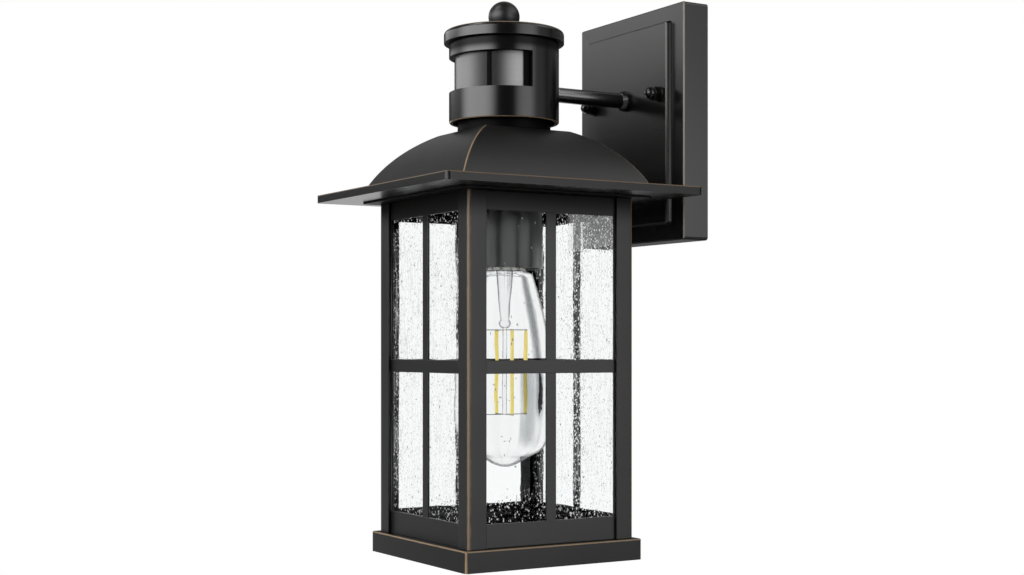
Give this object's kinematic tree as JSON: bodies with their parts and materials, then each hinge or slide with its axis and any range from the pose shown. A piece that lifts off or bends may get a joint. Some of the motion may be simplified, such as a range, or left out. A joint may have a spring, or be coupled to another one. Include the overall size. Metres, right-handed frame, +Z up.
{
  "type": "outdoor wall lantern",
  "caption": "Square outdoor wall lantern with seeded glass, a domed roof, a round motion sensor drum, a clear bulb and an arm to a rectangular wall plate.",
  "frame": {"origin": "middle of the mounting bar's back, in the wall plane, at the height of the arm", "axes": "+Z up, +Y into the wall along the normal of the lantern's back, +X to the right when facing the wall"},
  "size_m": [0.168, 0.1933, 0.3296],
  "materials": {
    "bronze_black_casting": "aluminium with a satin black powder coat and rubbed bronze edges",
    "bronze_black_steel": "satin black powder coat with rubbed bronze edges",
    "zinc_steel": "bright zinc",
    "ground_green": "green dyed zinc",
    "frame_black": "fine matt",
    "smoked_lens": "smoked, polished",
    "white_plastic": "moulded",
    "board_green": "solder resist",
    "detector_steel": "nickel plated",
    "holder_ceramic": "glazed",
    "contact_brass": "plain",
    "seeded_glass": "clear with seeds and reams",
    "clear_glass": "clear",
    "bulb_cap_metal": "plated",
    "bulb_insulator": "dark glass like",
    "filament_phosphor": "yellow coating",
    "lead_wire": "plain"
  },
  "bodies": {
    "lantern": {"back_plate": "bronze_black_casting", "mounting_bar": "zinc_steel", "fixture_studs": "zinc_steel", "stud_nuts": "zinc_steel", "cap_nut_washers": "bronze_black_steel", "ground_screw": "ground_green", "arm_tube": "bronze_black_steel", "plate_collar": "bronze_black_steel", "drum_collar": "bronze_black_steel", "arm_lock_nuts": "zinc_steel", "sensor_drum": "bronze_black_casting", "lens_frame": "frame_black", "sensor_lens": "smoked_lens", "sensor_carrier": "white_plastic", "sensor_board": "board_green", "motion_detectors": "detector_steel", "control_module": "white_plastic", "drum_cap": "bronze_black_casting", "finial": "bronze_black_casting", "finial_screw": "zinc_steel", "neck_ring": "bronze_black_casting", "roof_dome": "bronze_black_casting", "roof_brim": "bronze_black_casting", "top_plate": "bronze_black_steel", "centre_tube": "zinc_steel", "centre_nuts": "zinc_steel", "socket_cup": "bronze_black_steel", "lamp_holder": "holder_ceramic", "screw_shell": "contact_brass", "centre_contact": "contact_brass", "post_front_left": "bronze_black_steel", "post_front_right": "bronze_black_steel", "post_back_left": "bronze_black_steel", "post_back_right": "bronze_black_steel", "grille_front": "bronze_black_steel", "grille_back": "bronze_black_steel", "grille_left": "bronze_black_steel", "grille_right": "bronze_black_steel", "pane_front": "seeded_glass", "pane_back": "seeded_glass", "pane_left": "seeded_glass", "pane_right": "seeded_glass", "glass_clips": "zinc_steel", "base_frame": "bronze_black_casting"},
    "cap_nut_left": {"cap_nut_left": "bronze_black_steel"},
    "cap_nut_right": {"cap_nut_right": "bronze_black_steel"},
    "bulb": {"bulb_glass": "clear_glass", "bulb_cap": "bulb_cap_metal", "bulb_contact": "bulb_insulator", "bulb_stem": "clear_glass", "bulb_filaments": "filament_phosphor", "bulb_leads": "lead_wire"}
  },
  "joints": [
    {"name": "bulb_draw", "type": "slide", "parent": "lantern", "child": "bulb", "axis": [0, 0, -1], "range_m": [0, 0.2]},
    {"name": "cap_nut_left_turn", "type": "hinge", "parent": "lantern", "child": "cap_nut_left", "pos_m": [-0.03492, -0.0256, 0], "axis": [0, -1, 0], "continuous": true},
    {"name": "cap_nut_right_turn", "type": "hinge", "parent": "lantern", "child": "cap_nut_right", "pos_m": [0.03492, -0.0256, 0], "axis": [0, -1, 0], "continuous": true}
  ]
}
